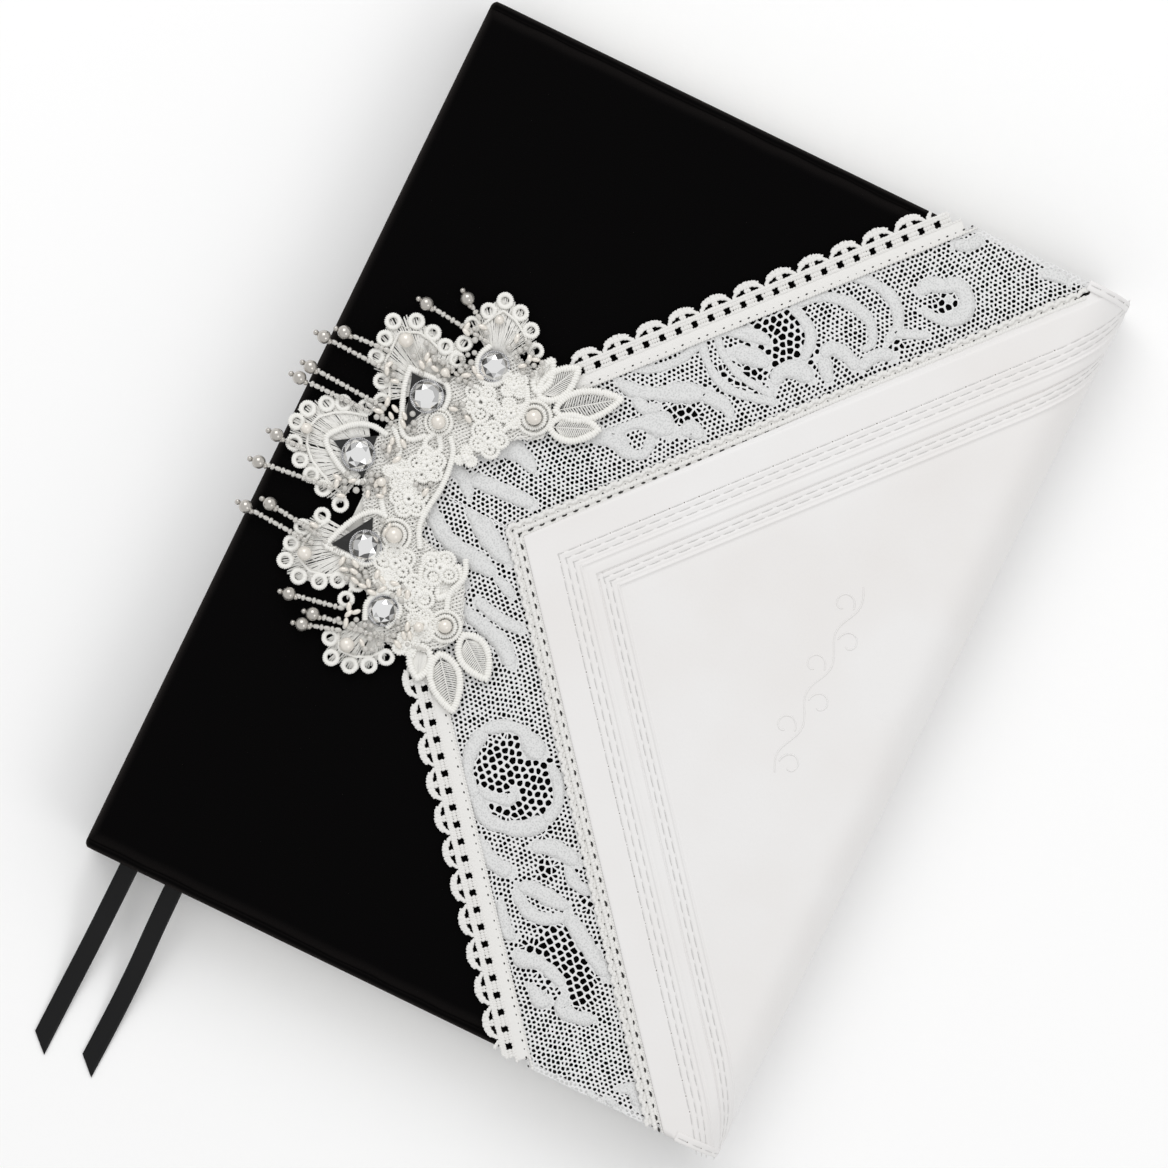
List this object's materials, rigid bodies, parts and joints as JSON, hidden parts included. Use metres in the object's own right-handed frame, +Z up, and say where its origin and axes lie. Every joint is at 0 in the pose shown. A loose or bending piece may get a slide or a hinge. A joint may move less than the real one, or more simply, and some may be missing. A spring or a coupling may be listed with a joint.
{
  "type": "wedding guest book",
  "caption": "Hardcover guest book in black velvet with a white leather triangular flap edged in lace, a beaded applique on its point and two ribbon markers.",
  "frame": {"origin": "middle of the back cover's underside, on the surface the closed book lies on", "axes": "+X from the spine to the fore-edge, +Y from the tail to the head of the book, +Z up through the closed book"},
  "size_m": [0.1675, 0.2694, 0.0296],
  "materials": {
    "velvet": "matt pile",
    "wadding": "fluffy",
    "board": "matt greyboard",
    "lining_paper": "matt paper",
    "pages": "matt paper",
    "mull": "open weave",
    "silk_band": "satin",
    "satin": "glossy satin weave",
    "magnet": "nickel plate",
    "lining_cloth": "satin",
    "white_leather": "fine grain, semi-gloss",
    "lace": "matt cotton",
    "white_braid": "matt thread",
    "felt": "felt",
    "net": "stiff net",
    "ivory_cord": "silk thread",
    "silver_cup": "bright",
    "crystal": "clear cut glass",
    "pearl": "pearl lustre",
    "bugle_beads": "glass beads"
  },
  "bodies": {
    "back_cover": {"back_velvet": "velvet", "back_wadding": "wadding", "back_board": "board", "back_pastedown": "lining_paper", "back_flyleaf": "pages", "back_signature_1": "pages", "back_signature_2": "pages", "back_signature_3": "pages", "back_signature_4": "pages", "spine_lining": "mull", "head_band": "silk_band", "tail_band": "silk_band", "ribbon_left_inner": "satin", "ribbon_right_inner": "satin", "ribbon_left_tail": "satin", "ribbon_right_tail": "satin"},
    "spine": {"spine_board": "board", "spine_velvet": "velvet"},
    "front_cover": {"front_board": "board", "front_wadding": "wadding", "front_velvet": "velvet", "front_pastedown": "lining_paper", "cover_magnet": "magnet", "gusset_lining": "lining_cloth", "fore_edge_gusset": "white_leather", "gusset_hems": "white_leather"},
    "front_pages": {"front_signature_1": "pages", "front_signature_2": "pages", "front_signature_3": "pages", "front_signature_4": "pages", "front_flyleaf": "pages"},
    "flap": {"flap_lining": "lining_cloth", "flap_leather": "white_leather", "lace_head": "lace", "lace_tail": "lace", "gimp_head": "white_braid", "gimp_tail": "white_braid", "braid_head": "white_braid", "braid_tail": "white_braid", "picot_head": "white_braid", "picot_tail": "white_braid", "applique_patch": "felt", "flap_magnet": "magnet", "petal_net_1": "net", "petal_net_2": "net", "petal_net_3": "net", "petal_net_4": "net", "petal_net_5": "net", "cord_flowers": "ivory_cord", "cord_leaves": "ivory_cord", "crystal_cups": "silver_cup", "crystals": "crystal", "pearls": "pearl", "fringe_strands": "bugle_beads", "fringe_pearls": "pearl"}
  },
  "joints": [
    {"name": "spine_hinge", "type": "hinge", "parent": "back_cover", "child": "spine", "pos_m": [-0.0804, 0, 0.00215], "axis": [0, -1, 0], "range_deg": [0, 85]},
    {"name": "cover_hinge", "type": "hinge", "parent": "spine", "child": "front_cover", "pos_m": [-0.0804, 0, 0.02045], "axis": [0, -1, 0], "range_deg": [0, 85]},
    {"name": "pages_turn", "type": "hinge", "parent": "back_cover", "child": "front_pages", "pos_m": [-0.079, 0, 0.0114], "axis": [0, -1, 0], "range_deg": [0, 170]},
    {"name": "flap_fold", "type": "hinge", "parent": "front_cover", "child": "flap", "pos_m": [0.072, 0, 0.024], "axis": [0, 1, 0], "range_deg": [0, 165]}
  ],
  "couplings": [
    {"joint": "cover_hinge", "follows": "spine_hinge", "ratio": 1},
    {"joint": "pages_turn", "follows": "spine_hinge", "ratio": 2}
  ]
}
